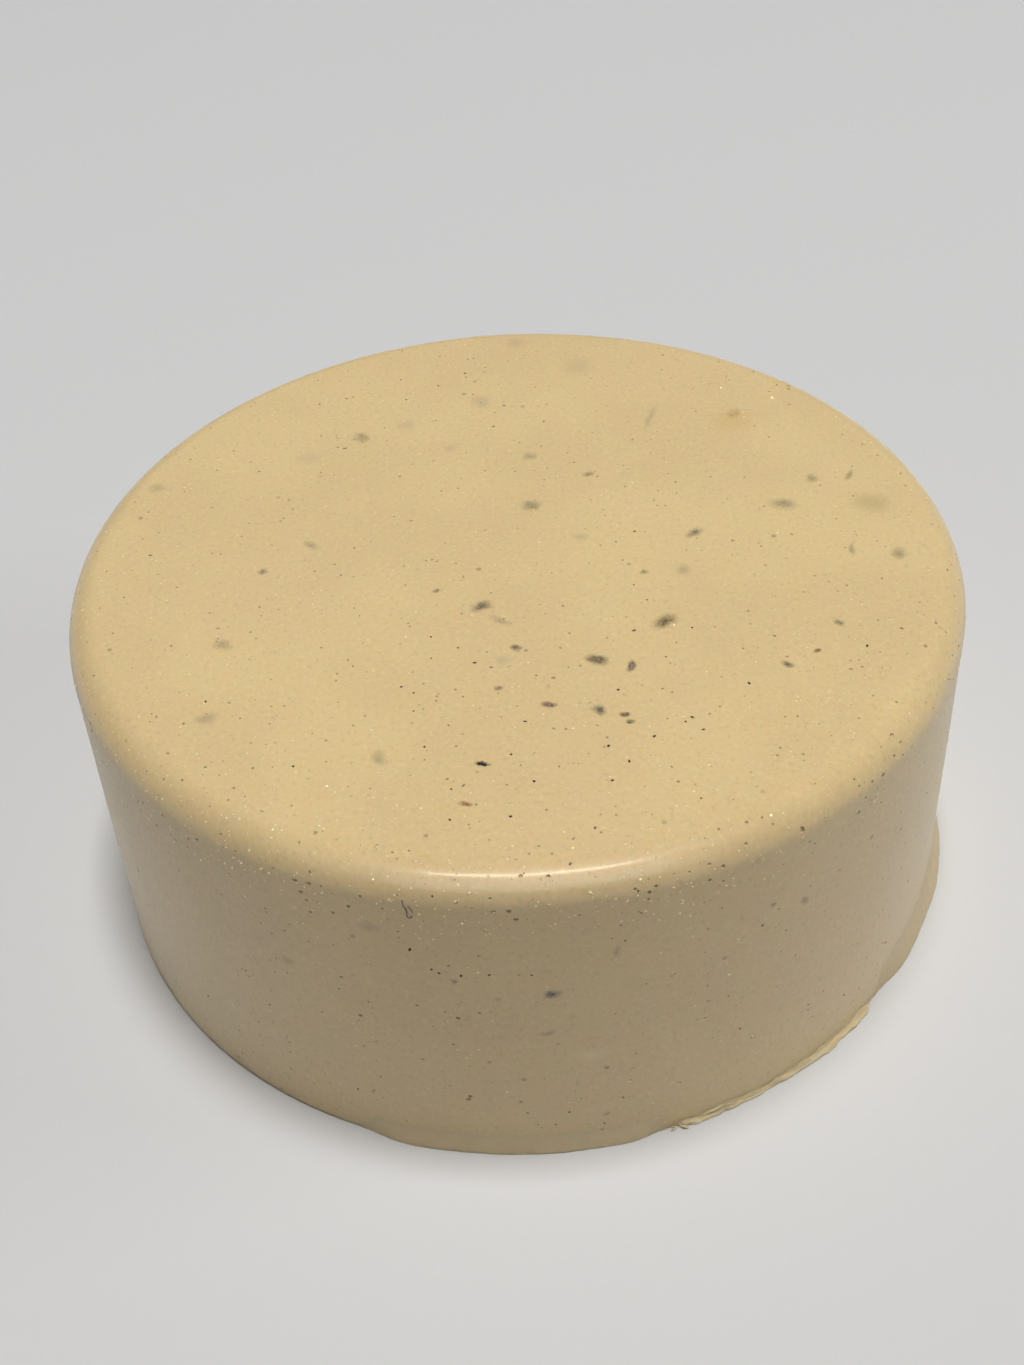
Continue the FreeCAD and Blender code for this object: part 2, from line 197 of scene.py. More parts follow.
def outward_at(azimuth, tilt=0.0):
    """The direction out of the soap at an azimuth, tilted up from level."""
    return Vector((math.cos(azimuth) * math.cos(tilt), math.sin(azimuth) * math.cos(tilt), math.sin(tilt)))


def around_at(azimuth):
    return Vector((-math.sin(azimuth), math.cos(azimuth), 0))


def polar(radius, azimuth, level):
    return Vector((radius * math.cos(azimuth), radius * math.sin(azimuth), level))


def skin_frame(along, azimuth, lift=0.0):
    """A frame on the uneven skin: +Z out of the soap, +X round it."""
    radius, level, tilt = skin(along)
    outward, around = outward_at(azimuth, tilt), around_at(azimuth)
    place = polar(radius, azimuth, level)
    place += outward * (swell(place) + lift)
    turned = Matrix((around, outward.cross(around), outward)).transposed().to_4x4()
    return Matrix.Translation(place) @ turned


def nearest_skin(point):
    """(along, azimuth, depth under the skin) of a point inside the casting near its surface."""
    radius, level = math.hypot(point.x, point.y), point.z
    azimuth = math.atan2(point.y, point.x)
    out, up = radius - FLAT, level - (HEIGHT - EDGE_ROUND)
    if out <= 0:
        return radius, azimuth, HEIGHT - level
    if up > 0:
        bend = math.atan2(out, up)
        return FLAT + EDGE_ROUND * bend, azimuth, EDGE_ROUND - math.hypot(out, up)
    wall_radius = SHOULDER + (SHOULDER_Z - level) * math.tan(DRAFT)
    return along_at(level), azimuth, (wall_radius - radius) * math.cos(DRAFT)


def foot_radius(azimuth):
    """How round the foot's edge is: worn where it is bare, sharp where flash grows from it."""
    degrees = math.degrees(azimuth) % 360
    begun = min(max((degrees - BARE_FROM) / ROUNDS_OFF_IN, 0.0), 1.0)
    left = min(max((BARE_TO - degrees) / SHARPENS_IN, 0.0), 1.0)
    return FLASHED_FOOT + (LEFT_FOOT - FLASHED_FOOT) * begun * left


SWELL_WAVE = 11 * MM
SWELL = 0.045 * MM
RIPPLE_WAVE = 2.2 * MM
RIPPLE = 0.006 * MM
SHRINKAGE = 0.3 * SWELL     # how far the skin lies inside the CAD skin on the whole
STEADY_FOOT = 2 * MM        # the height below which the unevenness dies out


def swell(place):
    """Slow unevenness of a hand-poured casting, dying out towards its foot."""
    slow = noise.noise(place / SWELL_WAVE) * SWELL
    fine = noise.noise(place / RIPPLE_WAVE) * RIPPLE
    return (slow + fine - SHRINKAGE) * min(place.z / STEADY_FOOT, 1.0)


# ---------------------------------------- the casting's mesh

COLUMNS = 480
TOP_STEP = 0.55 * MM
TOP_JITTER = 0.1            # of a step
RIM_GAP = 0.6               # of a step, kept clear inside the rim of the flat
ROUND_ROWS = 16
WALL_ROWS = 52
FOOT_TOP = 0.8 * MM
FOOT_ROWS = 10
UNDER_RINGS = 14


def foot_point(azimuth, share):
    """Radius and height down the last of the wall and round the foot's edge; share runs 0 to 1."""
    edge = foot_radius(azimuth)
    straight = FOOT_TOP - edge
    travelled = share * (straight + edge * math.pi / 2)
    if travelled <= straight:
        level = FOOT_TOP - travelled
        return WALL_FOOT - level * math.tan(DRAFT), level
    turn = (travelled - straight) / edge
    return WALL_FOOT - edge * (1 - math.cos(turn)), edge * (1 - math.sin(turn))


def ring_rows():
    """For each row below the flat: a function from azimuth to (radius, height, outward tilt)."""
    rows = []
    for k in range(ROUND_ROWS + 1):
        along = FLAT + ROUND_LENGTH * k / ROUND_ROWS
        rows.append(lambda azimuth, along=along: skin(along))
    top, bottom = along_at(SHOULDER_Z), along_at(FOOT_TOP)
    for k in range(1, WALL_ROWS + 1):
        along = top + (bottom - top) * k / WALL_ROWS
        rows.append(lambda azimuth, along=along: skin(along))
    for k in range(1, FOOT_ROWS + 1):
        share = k / FOOT_ROWS
        rows.append(lambda azimuth, share=share: (*foot_point(azimuth, share), 0.0))
    for k in range(1, UNDER_RINGS):
        shrink = 1 - k / UNDER_RINGS
        rows.append(lambda azimuth, shrink=shrink: (foot_point(azimuth, 1)[0] * shrink, 0.0, -math.pi / 2))
    return rows


def flat_points():
    """A jittered hexagonal scatter over the flat top, inside its rim."""
    rng = random.Random(5)
    inside = []
    row_step = TOP_STEP * math.sqrt(0.75)
    for row in range(-int(FLAT / row_step), int(FLAT / row_step) + 1):
        for column in range(-int(FLAT / TOP_STEP) - 1, int(FLAT / TOP_STEP) + 2):
            x = (column + 0.5 * (row % 2)) * TOP_STEP + rng.uniform(-TOP_JITTER, TOP_JITTER) * TOP_STEP
            y = row * row_step + rng.uniform(-TOP_JITTER, TOP_JITTER) * TOP_STEP
            if math.hypot(x, y) < FLAT - RIM_GAP * TOP_STEP:
                inside.append((x, y))
    return inside


def side_skin(azimuths):
    """Points and faces of the round, the wall, the foot and the underside."""
    rows = ring_rows()
    points = []
    for row in rows:
        for azimuth in azimuths:
            radius, level, tilt = row(azimuth)
            place = polar(radius, azimuth, level)
            points.append(place + outward_at(azimuth, tilt) * swell(place))
    faces = ring_faces(len(rows), COLUMNS)
    centre = len(points)
    points.append(Vector((0, 0, 0)))
    last = centre - COLUMNS
    faces += [(last + k, centre, last + (k + 1) % COLUMNS) for k in range(COLUMNS)]
    return points, faces


def top_skin(azimuths, first):
    """Points within the flat top, numbered from first, and the faces that join them up to its rim."""
    rim = [Vector((FLAT * math.cos(a), FLAT * math.sin(a))) for a in azimuths]
    inner = [Vector(p) for p in flat_points()]
    flat = delaunay_2d_cdt(rim + inner, [], [list(range(COLUMNS))], 1, 1e-9)
    points = []
    for x, y in inner:
        place = Vector((x, y, HEIGHT))
        points.append(place + Vector((0, 0, swell(place))))
    numbers = [*range(COLUMNS), *range(first, first + len(inner))]
    return points, [tuple(numbers[k] for k in face) for face in flat[2]]


def soap_mesh():
    azimuths = [2 * math.pi * k / COLUMNS for k in range(COLUMNS)]
    points, faces = side_skin(azimuths)
    top_points, top_faces = top_skin(azimuths, len(points))
    mesh = bpy.data.meshes.new("soap")
    mesh.from_pydata(points + top_points, [], faces + top_faces)
    mesh.validate()
    mesh.update()
    return mesh


def finish_piece(name, mesh, material, node):
    """Puts a mesh in the scene as the piece that stands for this CAD node."""
    mesh.name = name
    mesh.materials.append(material)
    mesh.polygons.foreach_set("use_smooth", [True] * len(mesh.polygons))
    piece = bpy.data.objects.new(name, mesh)
    bpy.context.scene.collection.objects.link(piece)
    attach(piece, "root")
    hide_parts(node)
    return piece


# ---------------------------------------- shared shapes


class Shapes:
    """Many small closed shapes gathered into one mesh."""

    def __init__(self):
        self.points, self.faces = [], []

    def add(self, points, faces):
        start = len(self.points)
        self.points += points
        self.faces += [tuple(start + k for k in face) for face in faces]

    def mesh(self):
        mesh = bpy.data.meshes.new("shapes")
        mesh.from_pydata(self.points, [], self.faces)
        mesh.validate()
        return mesh


def ring_faces(rings, sides):
    """Faces from each ring of points to the next, for points listed ring by ring."""
    faces = []
    for near in range(0, (rings - 1) * sides, sides):
        far = near + sides
        for k in range(sides):
            beside = (k + 1) % sides
            faces.append((near + k, far + k, far + beside, near + beside))
    return faces


def ball(subdivisions):
    """Points and faces of a ball of radius 1."""
    bm = bmesh.new()
    bmesh.ops.create_icosphere(bm, subdivisions=subdivisions, radius=1)
    points = [v.co.copy() for v in bm.verts]
    faces = [[v.index for v in f.verts] for f in bm.faces]
    bm.free()
    return points, faces


BALL = ball(2)


def crumb(matrix, radii, seed, rough=0.35):
    """An irregular lump: a ball with a broken-looking skin."""
    shift = Vector((seed * 1.7, seed * 0.9, seed * 2.3))
    points = []
    for p in BALL[0]:
        swollen = p * (1 + rough * noise.noise(p * 1.3 + shift) + 0.5 * rough * noise.noise(p * 3.1 + shift))
        points.append(matrix @ Vector(r * c for r, c in zip(radii, swollen)))
    return points, BALL[1]


def plate(matrix, radius, thick, rng):
    """A thin broken flake with five to seven sides."""
    sides = rng.randint(5, 7)
    turns = [2 * math.pi * (k + rng.uniform(-0.25, 0.25)) / sides for k in range(sides)]
    reach = [radius * rng.uniform(0.7, 1.15) for _ in turns]
    rim = [(r * math.cos(t), r * math.sin(t)) for r, t in zip(reach, turns)]
    points = [matrix @ Vector((x, y, z)) for z in (-thick / 2, thick / 2) for x, y in rim]
    faces = [tuple(range(sides))[::-1], tuple(range(sides, 2 * sides))]
    faces += [(k, (k + 1) % sides, sides + (k + 1) % sides, sides + k) for k in range(sides)]
    return points, faces


def strand(points, radii):
    """Points and faces of a round strand that follows these points, with a radius at each."""
    data = bpy.data.curves.new("strand", "CURVE")
    data.dimensions = "3D"
    data.bevel_depth = 1.0
    data.bevel_resolution = 2
    data.use_fill_caps = True
    data.resolution_u = 6
    spline = data.splines.new("NURBS")
    spline.points.add(len(points) - 1)
    for point, place, radius in zip(spline.points, points, radii):
        point.co = (*place, 1)
        point.radius = radius
    spline.order_u = 3
    spline.use_endpoint_u = True
    holder = bpy.data.objects.new("strand", data)
    mesh = bpy.data.meshes.new_from_object(holder)
    bpy.data.objects.remove(holder)
    bm = bmesh.new()
    bm.from_mesh(mesh)
    bmesh.ops.remove_doubles(bm, verts=bm.verts, dist=0.1 * TOUCHING)
    made = [v.co.copy() for v in bm.verts], [tuple(v.index for v in f.verts) for f in bm.faces]
    bm.free()
    return made


# ---------------------------------------- reading the CAD pieces


def node_points(node):
    return np.array([v.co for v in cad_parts[node].data.vertices])


def separate_solids(node):
    """The points of each separate solid of a node."""
    bm = bmesh.new()
    bm.from_mesh(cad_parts[node].data)
    bmesh.ops.remove_doubles(bm, verts=bm.verts, dist=TOUCHING)
    waiting = set(bm.verts)
    solids = []
    while waiting:
        reached = {min(waiting, key=lambda v: v.index)}
        edge = set(reached)
        while edge:
            edge = {e.other_vert(v) for v in edge for e in v.link_edges} - reached
            reached |= edge
        waiting -= reached
        solids.append(np.array(sorted(tuple(v.co) for v in reached)))
    bm.free()
    return solids


def measure_plate(points):
    """A flat solid's centre frame (+Z its thin way, facing out of the soap) and its half sizes."""
    centre = points.mean(0)
    axes = np.linalg.eigh(np.cov((points - centre).T))[1]
    thin, long = axes[:, 0], axes[:, 2]
    along, azimuth, _ = nearest_skin(Vector(centre))
    if np.dot(thin, skin_frame(along, azimuth).col[2][:3]) < 0:
        thin = -thin
    turned = np.stack([long, np.cross(thin, long), thin], axis=1)
    local = (points - centre) @ turned
    middle = (local.max(0) + local.min(0)) / 2
    matrix = Matrix(turned.tolist()).to_4x4()
    matrix.translation = Vector(centre + turned @ middle)
    return matrix, (local.max(0) - local.min(0)) / 2


def leaf_depth(node):
    """How deep a leaf's outer face lies under the skin; negative when it stands out."""
    return min(nearest_skin(Vector(p))[2] for p in node_points(node))


# ---------------------------------------- flash round the foot

LIP_STEP = 0.06 * MM
LIP_BURIED = 0.3 * MM       # how far a lip's root lies inside the wall
LIP_THICK = 0.12 * MM
LIP_SLICES = 9
LIP_OUTER = 0.12 * MM       # points of a CAD flash farther out than this are on its outer edge
LIP_NARROWEST = 0.04 * MM
LIP_FADE = 1.2 * MM         # the length in which a lip dies out at each end
LIP_RIDGE = 0.13 * MM       # how high its lengthwise ridges stand
LIP_TUCK = 0.03 * MM        # how far under the skin its top ends
LIP_TUCK_RISE = 0.05 * MM   # and how far above its climb
# Tears in a lip's edge, and in how far it climbs: wave in millimetres, depth, and place in the noise.
LIP_NOTCHES = [(1.1, 0.45, 0), (0.5, 0.25, 9)]
LIP_STEEPS = [(1.2, 1.1, 7), (0.5, 0.3, 8)]
# How far each lip's root climbs the wall, how it flares towards the floor, and how rough it is.
LIPS = {
    "flash_front": (1.8 * MM, 1.2, 0.12),
    "flash_torn": (0.50 * MM, 1.3, 0.9),
    "flash_right": (3.2 * MM, 1.5, 0.12),
}


def outer_edge(node):
    """Azimuths along a flash and how far it reaches past the wall at each."""
    points = node_points(node)
    middle = math.atan2(points[:, 1].mean(), points[:, 0].mean())
    azimuth = np.arctan2(points[:, 1], points[:, 0]) - middle
    azimuth = middle + (azimuth + math.pi) % (2 * math.pi) - math.pi
    reach = np.hypot(points[:, 0], points[:, 1]) - WALL_FOOT
    outer = reach > LIP_OUTER
    order = azimuth[outer].argsort()
    turns = np.concatenate([[azimuth.min()], azimuth[outer][order], [azimuth.max()]])
    return turns, np.concatenate([[0.0], reach[outer][order], [0.0]])


def lip_section(azimuth, reach, climb, flare, rough):
    """Radii and heights round one slice of a torn lip, from under the soap out and back up the wall."""
    spot = outward_at(azimuth) * WALL_FOOT

    def tear(wave, level):
        return noise.noise(spot / (wave * MM) + Vector((0, 0, level)))

    def torn(waves):
        return rough * sum(depth * tear(wave, level) for wave, depth, level in waves)

    reach = max(reach * (1 - torn(LIP_NOTCHES)), LIP_NARROWEST)
    thick = LIP_THICK * (0.8 + 0.6 * tear(0.6, 3))
    climb = max(climb * (1 + torn(LIP_STEEPS)), 1.5 * thick)
    section = [(-LIP_BURIED, 0.0), (reach * 0.85, 0.0), (reach, 0.4 * thick)]
    for k in range(LIP_SLICES):
        share = (k + 0.5) / LIP_SLICES
        ridge = LIP_RIDGE * rough * (tear(1.6, 20 + 4 * share) + 0.6 * tear(0.8, 40 + 8 * share))
        level = thick + (climb - thick) * share
        out = reach * (1 - share) ** flare - level * math.tan(DRAFT) + ridge * (1 - share ** 4)
        section.append((out, level + 0.5 * ridge))
    level = climb + LIP_TUCK_RISE
    section += [(-level * math.tan(DRAFT) - LIP_TUCK, level), (-LIP_BURIED, level)]
    return section


def capped_tube(rings):
    """A mesh through equal rings of points, closed at both ends."""
    sides = len(rings[0])
    faces = ring_faces(len(rings), sides)
    last = (len(rings) - 1) * sides
    faces += [tuple(range(sides)), tuple(range(last, last + sides))[::-1]]
    shapes = Shapes()
    shapes.add([point for ring in rings for point in ring], faces)
    return shapes.mesh()


def lip_mesh(node, climb, flare, rough):
    """A lip that reaches past the wall as far as its CAD flash does, dying out at both ends."""
    azimuths, reaches = outer_edge(node)
    start, end = azimuths[0], azimuths[-1]
    rings = []
    for azimuth in np.linspace(start, end, int((end - start) * WALL_FOOT / LIP_STEP)):
        away = min(azimuth - start, end - azimuth) * WALL_FOOT
        fade = min(away / LIP_FADE, 1.0)
        reach = float(np.interp(azimuth, azimuths, reaches)) * fade
        section = lip_section(azimuth, reach, climb * fade, flare, rough)
        rings.append([polar(WALL_FOOT + out, azimuth, level) for out, level in section])
    return capped_tube(rings)


# The curled prongs of the torn shred: outward, sideways and upward places, and thickness, in millimetres;
# and how the thickness changes along each.
PRONG_TAPER = (0.8, 1.0, 0.75, 0.2)
PRONGS = [
    ([(-0.1, -0.12, 0.10), (0.28, 0.04, 0.20), (0.46, 0.24, 0.30), (0.54, 0.50, 0.20)], 0.10),
    ([(-0.1, 0.05, 0.16), (0.22, 0.18, 0.32), (0.34, 0.38, 0.42), (0.30, 0.64, 0.40)], 0.08),
    ([(0.0, -0.28, 0.08), (0.24, -0.44, 0.14), (0.34, -0.70, 0.18), (0.26, -0.90, 0.14)], 0.07),
]


def shred_mesh():
    """A little torn curl of soap with three prongs."""
    low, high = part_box("flash_shred")
    azimuth = math.atan2((low.y + high.y) / 2, (low.x + high.x) / 2)
    outward, around = outward_at(azimuth), around_at(azimuth)
    foot = outward * WALL_FOOT
    shapes = Shapes()
    for places, thick in PRONGS:
        path = [foot + (outward * o + around * a + Vector((0, 0, u))) * MM for o, a, u in places]
        radii = [thick * MM * share for share in PRONG_TAPER]
        shapes.add(*strand(path, radii))
    return shapes.mesh()


# ---------------------------------------- leaf flakes

FLAKE_RINGS = 8
FLAKE_SIDES = 48
FLAKE_FILL = 0.84           # how much of its plate a flake fills, before its edge wanders
FLAKE_EDGE = [(1.5, 0.34), (3.7, 0.26), (8.0, 0.18)]    # how often an edge wanders round, and how far
FLAKE_CRUMPLES = [(0.34 * MM, 0.55), (0.14 * MM, 0.33)]     # wave, and height in half thicknesses
FLAKE_THINNING = 0.75       # how much thinner a flake is at its edge than in its middle
FLAKE_BEND = 0.25           # in half thicknesses


def flake_faces():
    """The faces of every flake: a disc, a second disc under it, and the rim between them."""
    under = 1 + FLAKE_RINGS * FLAKE_SIDES
    rim = under - FLAKE_SIDES
    faces = []
    for k in range(FLAKE_SIDES):
        after = (k + 1) % FLAKE_SIDES
        faces.append((0, 1 + k, 1 + after))
        faces.append((under, under + 1 + after, under + 1 + k))
        for near in range(1, rim, FLAKE_SIDES):
            far = near + FLAKE_SIDES
            faces.append((near + k, far + k, far + after, near + after))
            faces.append((under + near + after, under + far + after, under + far + k, under + near + k))
        faces.append((rim + k, under + rim + k, under + rim + after, rim + after))
    return faces


FLAKE_FACES = flake_faces()
FIRST_INNER_SEED = 101      # past the seeds of the leaves that are counted one by one


def flake(matrix, half, seed):
    """A crumpled bit of dried leaf, thin at its torn edge, in a plate's frame."""
    shift = Vector((seed * 3.1, seed * 1.3, seed * 0.7))
    top, bottom = [Vector((0, 0, half[2]))], [Vector((0, 0, -half[2]))]
    for r in range(1, FLAKE_RINGS + 1):
        share = r / FLAKE_RINGS
        for k in range(FLAKE_SIDES):
            turn = 2 * math.pi * k / FLAKE_SIDES
            spoke = Vector((math.cos(turn), math.sin(turn), 0))
            edge = FLAKE_FILL + sum(far * noise.noise(spoke * often + shift) for often, far in FLAKE_EDGE)
            edge = min(edge, 1.0)
            x, y = half[0] * spoke.x * share * edge, half[1] * spoke.y * share * edge
            spot = Vector((x, y, seed * MM))
            crumple = sum(high * noise.noise(spot / wave) for wave, high in FLAKE_CRUMPLES)
            body = 1 - FLAKE_THINNING * share ** 3
            bend = FLAKE_BEND * noise.noise(spoke * share * 0.9 + shift)
            top.append(Vector((x, y, half[2] * (body + crumple + bend))))
            bottom.append(Vector((x, y, half[2] * (bend - body))))
    return [matrix @ p for p in top + bottom], FLAKE_FACES


def on_swollen_skin(matrix):
    """The same frame, moved with the skin's unevenness above it."""
    along, azimuth, _ = nearest_skin(matrix.translation)
    outward = skin_frame(along, azimuth).col[2].to_3d()
    moved = matrix.copy()
    moved.translation = matrix.translation + outward * swell(matrix.translation)
    return moved


def add_leaves(materials):
    """Each leaf of the CAD model as a ragged, crumpled flake in the same place."""
    for number, node in enumerate(leaf_nodes()):
        matrix, half = measure_plate(node_points(node))
        shapes = Shapes()
        shapes.add(*flake(on_swollen_skin(matrix), half, number + 1))
        kind = leaf_kind(node)
        finish_piece(f"flake_{node}", shapes.mesh(), materials[kind], node)


def add_inner_flakes(material):
    """The leaf that is mixed through the depth of the soap, as one piece."""
    shapes = Shapes()
    for number, solid in enumerate(separate_solids("inner_flakes")):
        matrix, half = measure_plate(solid)
        shapes.add(*flake(matrix, half, number + FIRST_INNER_SEED))
    finish_piece("buried_flakes", shapes.mesh(), material, "inner_flakes")


# ---------------------------------------- specks, mica and root hair


def front_share(along, azimuth):
    """0 at the back of the puck, 1 at its front."""
    return 0.5 - 0.5 * math.sin(azimuth) * min(along / FLAT, 1.0)


def round_share(along):
    """0 where the flat top ends, 1 where the wall begins."""
    return (along - FLAT) / ROUND_LENGTH


def speck_density(along, azimuth):
    """Specks are thickest at the front and on the round, and thin on the wall."""
    front = 0.25 + 0.45 * front_share(along, azimuth)
    share = round_share(along)
    if 0.5 < share < 1.6:
        return min(1.6 * front, 1.0)
    return front if share < 1 else front * 0.4


def mica_and_glint_density(along, azimuth):
    """Mica is set thickest where the front lights make it glint: at the front, near the edge of the top and
    on the round, with little below. Its spread is partly painted glint.
    """
    front = 0.20 + 0.80 * front_share(along, azimuth) ** 1.5
    down = max(along - FLAT - ROUND_LENGTH, 0.0) / HEIGHT
    if down > 0.08:
        return front * 0.05
    return front * (0.5 if along < FLAT - 6 * MM else 1.0)


def scattered(count, density, seed):
    """Seeded places (along, azimuth) on the skin, as thick on it as the density says."""
    rng = random.Random(seed)
    places = []
    while len(places) < count:
        along = rng.uniform(0, along_at(FOOT_TOP))
        azimuth = rng.uniform(0, 2 * math.pi)
        if rng.random() < skin(along)[0] / WALL_FOOT * density(along, azimuth):
            places.append((along, azimuth))
    return places


def cad_places(node):
    """Where each solid of a CAD node is: (along, azimuth)."""
    return [nearest_skin(Vector(solid.mean(0)))[:2] for solid in separate_solids(node)]


# Crumbs of each shade: how many finer ones are added to those of the CAD node, their least width, the full
# width that the CAD node's have, and a seed.
CRUMBS = {
    "black": (30, 0.10 * MM, 0.20 * MM, 41),
    "brown": (750, 0.08 * MM, 0.21 * MM, 42),
}
CRUMB_SUNK = 0.30           # of its radius


def add_crumbs(shade, material):
    """Crumbs set in the skin: those of the CAD node, then a seeded crowd of finer ones."""
    extra, least, full, seed = CRUMBS[shade]
    rng = random.Random(seed)
    modelled = cad_places(f"{shade}_specks")
    shapes = Shapes()
    for number, (along, azimuth) in enumerate(modelled + scattered(extra, speck_density, seed)):
        width = full if number < len(modelled) else least + (full - least) * rng.random() ** 2
        radius = width * rng.uniform(0.8, 1.1) / 2
        turn = Matrix.Rotation(rng.uniform(0, math.pi), 4, "Z")
        matrix = skin_frame(along, azimuth, -CRUMB_SUNK * radius) @ turn
        shapes.add(*crumb(matrix, (radius * rng.uniform(1.0, 1.9), radius, 0.55 * radius), number))
    finish_piece(f"{shade}_crumbs", shapes.mesh(), material, f"{shade}_specks")


MICA_EXTRA = 2300
MICA_SIZES = (0.09 * MM, 0.20 * MM)
MICA_THICK = 0.03 * MM
MICA_LEAN = 0.35            # spread of their tilt, in radians


def add_mica(material):
    """Tilted flakes of mica just breaking the skin."""
    rng = random.Random(31)
    shapes = Shapes()
    modelled = cad_places("mica_flecks")
    # The seeded mica follows a spread that is partly painted glint, thickest where the front lights catch
    # it.
    for along, azimuth in modelled + scattered(MICA_EXTRA, mica_and_glint_density, 32):
        radius = (MICA_SIZES[0] + (MICA_SIZES[1] - MICA_SIZES[0]) * rng.random() ** 1.5) / 2
        lean = Matrix.Rotation(rng.gauss(0, MICA_LEAN), 4, "X")
        lean = lean @ Matrix.Rotation(rng.gauss(0, MICA_LEAN), 4, "Y")
        matrix = skin_frame(along, azimuth, 0.25 * MICA_THICK) @ lean
        shapes.add(*plate(matrix, radius, MICA_THICK, rng))
    piece = finish_piece("mica_glints", shapes.mesh(), material, "mica_flecks")
    piece.data.polygons.foreach_set("use_smooth", [False] * len(piece.data.polygons))


# The root hair's strands: places round the puck and up it from its middle, and thickness, in millimetres.
HAIR_STRANDS = [
    ([(-0.36, 0.80), (-0.36, 0.40), (-0.20, 0.05), (-0.08, -0.25), (-0.18, -0.50), (-0.10, -0.76),
      (0.14, -0.78), (0.22, -0.56)], 0.040),
    ([(-0.02, 0.34), (0.10, 0.18), (0.24, -0.02), (0.26, -0.22)], 0.032),
]


def add_root_hair(material):
    """One curled strand of uneven thickness, and a short one beside it."""
    low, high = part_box("root_fibre")
    along, azimuth, _ = nearest_skin((low + high) / 2)
    shapes = Shapes()
    for places, thick in HAIR_STRANDS:
        path = [on_skin(along, azimuth, across, up, 0.0) for across, up in places]
        wobble = [1 + 0.35 * noise.noise(Vector((k * 1.7, thick, 0))) for k in range(len(path))]
        shapes.add(*strand(path, [thick * MM * w for w in wobble]))
    finish_piece("root_hair", shapes.mesh(), material, "root_fibre")


def on_skin(along, azimuth, across, up, lift):
    """A point on the skin, this many millimetres round and up from a place on it."""
    radius = skin(along)[0]
    return skin_frame(along - up * MM, azimuth + across * MM / radius, lift).translation


# ---------------------------------------- pinholes and scuffs in the casting

PINHOLES = 170
PINHOLE_RADII = (0.09 * MM, 0.17 * MM)
PINHOLE_LIFT = 0.05         # how far a pinhole's centre is above the skin, in radii
PINHOLE_DEPTH = 1.05        # how far it reaches below its centre, in radii
SCUFF_THICK = 0.045 * MM
SCUFF_LIFT = 0.01 * MM
SHARP_ANGLE = math.radians(38)      # edges of the pinholes that are sharper than this aren't smoothed
# Pale scuffs on the wall: azimuth in degrees, height, then strokes of places round and up, in millimetres.
SCUFFS = [
    (247.3, 13.3, [(-0.35, -0.30), (-0.10, 0.10), (0.22, 0.42), (0.40, 0.30), (0.15, -0.15)]),
    (248.8, 15.4, [(-0.10, 0.45), (0.05, 0.10), (-0.02, -0.30), (-0.30, -0.50)]),
    (249.5, 15.5, [(0.10, 0.40), (0.22, 0.15), (0.26, -0.20)]),
]


def pinhole_density(along, azimuth):
    """Air was trapped mostly in the round of the mould's edge."""
    share = round_share(along)
    if share < 0:
        return 0.01
    if 0.65 < share < 1.25:
        return 1.0
    return 0.25 if share < 1.8 else 0.04


def pinhole_mesh():
    """The lumps that pinholes are cut with, a little longer than wide."""
    rng = random.Random(77)
    shapes = Shapes()
    for number, (along, azimuth) in enumerate(scattered(PINHOLES, pinhole_density, 78)):
        radius = rng.uniform(*PINHOLE_RADII)
        matrix = skin_frame(along, azimuth, PINHOLE_LIFT * radius)
        radii = (radius * rng.uniform(1.0, 1.3), radius, PINHOLE_DEPTH * radius)
        shapes.add(*crumb(matrix, radii, number, 0.15))
    return shapes.mesh()


def scuff_mesh():
    """Thin beads of pushed-up soap along the strokes of each scuff."""
    shapes = Shapes()
    for degrees, level, places in SCUFFS:
        along, azimuth = along_at(level * MM), math.radians(degrees)
        path = [on_skin(along, azimuth, across, up, SCUFF_LIFT) for across, up in places]
        shapes.add(*strand(path, [SCUFF_THICK] * len(path)))
    return shapes.mesh()


def carve(piece, tool_mesh, operation, material):
    """Cuts a mesh out of a piece, or joins it on, for good; the new faces take this material."""
    tool_mesh.materials.append(material)
    tool = bpy.data.objects.new("tool", tool_mesh)
    bpy.context.scene.collection.objects.link(tool)
    modifier = piece.modifiers.new("carve", "BOOLEAN")
    modifier.operation = operation
    modifier.solver = "MANIFOLD"
    modifier.material_mode = "TRANSFER"
    modifier.object = tool
    carved = bpy.data.meshes.new_from_object(piece.evaluated_get(bpy.context.evaluated_depsgraph_get()))
    piece.modifiers.remove(modifier)
    piece.data = carved
    bpy.data.objects.remove(tool)


# ---------------------------------------- material helpers


